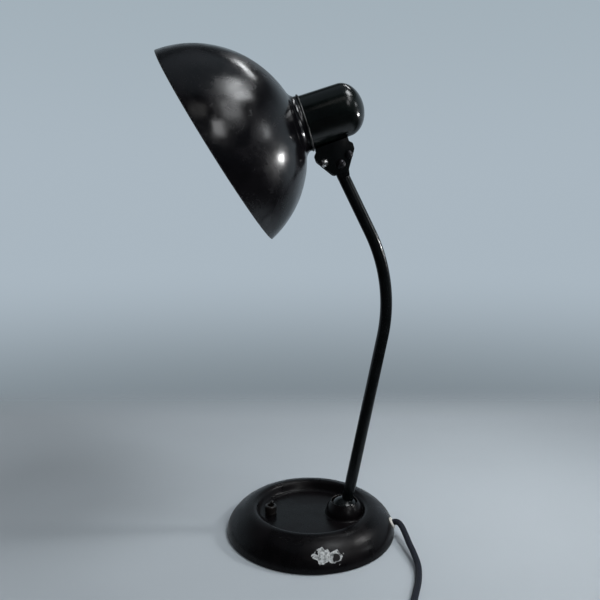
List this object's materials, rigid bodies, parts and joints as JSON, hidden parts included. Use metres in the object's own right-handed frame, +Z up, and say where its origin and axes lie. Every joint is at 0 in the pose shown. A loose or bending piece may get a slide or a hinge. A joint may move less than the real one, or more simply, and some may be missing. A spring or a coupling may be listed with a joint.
{
  "type": "desk lamp",
  "caption": "Desk lamp with a weighted round foot, bent tube arm on a ball joint, and a deep oblique-cut dome shade on a tilting bracket.",
  "frame": {"origin": "centre of the foot's round underside, on the table", "axes": "+Z up; the arm and the head lie in the XZ plane, the open side of the shade faces -X and the arm's joint stands towards +X; the cord leaves the foot near +X and lies towards -Y"},
  "size_m": [0.246, 0.3363, 0.4856],
  "materials": {
    "foot_paint": "gloss black enamel over cast iron, chipped at the rim",
    "zinc_plate": "dull zinc plate",
    "felt": "dark green felt",
    "fibre": "brown vulcanised fibre",
    "spring_steel": "bright wire",
    "black_paint": "gloss black enamel",
    "housing_paint": "gloss greenish-black enamel",
    "shade_paint": "semi-gloss black enamel outside, white enamel inside",
    "black_steel": "blackened steel",
    "bright_steel": "bright steel",
    "bakelite": "dark moulded resin",
    "brass": "dull brass",
    "bush_white": "off-white",
    "cord_braid": "dark blue-black textile braid",
    "lead_sleeve": "dark rubber",
    "tie_rubber": "black",
    "plug_black": "black",
    "plug_metal": "nickel plate",
    "porcelain": "glazed porcelain",
    "bulb_glass": "clear glass",
    "filament": "fine wire"
  },
  "bodies": {
    "foot": {"base_casting": "foot_paint", "base_cover": "zinc_plate", "felt_pad": "felt", "cover_screws": "zinc_plate", "socket_plate": "zinc_plate", "socket_screws": "zinc_plate", "switch_body": "bakelite", "switch_collar": "bakelite", "switch_pin": "zinc_plate", "switch_contacts": "brass", "cord_bush": "bush_white", "cord_clamp": "zinc_plate", "cord_clamp_screws": "zinc_plate", "mains_tail": "cord_braid", "terminal_block": "bush_white", "terminal_sleeves": "brass", "terminal_screws": "zinc_plate", "switch_leads": "lead_sleeve", "base_lead": "lead_sleeve", "cord": "cord_braid", "cord_coil": "cord_braid", "cord_tail": "cord_braid", "cord_tie": "tie_rubber", "plug_body": "plug_black", "plug_pins": "plug_metal"},
    "switch lever": {"switch_lever": "bakelite"},
    "joint ring": {"pressure_ring": "fibre", "pressure_spring": "spring_steel"},
    "arm": {"arm_cap": "black_paint", "arm_tube": "black_paint", "arm_fork": "black_paint", "arm_lead": "lead_sleeve"},
    "head": {"head_bracket": "black_paint", "pivot_screw": "black_steel", "pivot_nut": "black_steel", "pivot_washers": "fibre", "cheek_spacers": "black_steel", "cheek_screw_bright": "bright_steel", "cheek_screw_black": "black_steel", "cheek_nuts": "black_steel", "nipple": "brass", "nipple_nut": "brass", "saddle_washer": "zinc_plate", "head_lead": "lead_sleeve", "housing": "housing_paint", "neck_bead": "bright_steel", "holder_bracket": "zinc_plate", "holder_screws": "zinc_plate", "holder_body": "porcelain", "holder_shell": "brass", "holder_contact": "brass", "holder_leads": "lead_sleeve", "shade_ring": "bakelite", "shade": "shade_paint", "bulb_glass": "bulb_glass", "bulb_cap": "brass", "bulb_mount": "bulb_glass", "bulb_filament": "filament"}
  },
  "joints": [
    {"name": "switch_toggle", "type": "hinge", "parent": "foot", "child": "switch lever", "pos_m": [-0.042, 0, 0.0195], "axis": [0, 1, 0], "range_deg": [-18, 0]},
    {"name": "foot_swivel", "type": "hinge", "parent": "foot", "child": "joint ring", "pos_m": [0.0355, 0, 0.0155], "axis": [0, 0, 1], "range_deg": [-170, 170]},
    {"name": "foot_tilt", "type": "hinge", "parent": "joint ring", "child": "arm", "pos_m": [0.0355, 0, 0.0155], "axis": [0, 1, 0], "range_deg": [-34, 12]},
    {"name": "head_tilt", "type": "hinge", "parent": "arm", "child": "head", "pos_m": [0.02822, 0, 0.37616], "axis": [0, 1, 0], "range_deg": [-50, 45]}
  ]
}
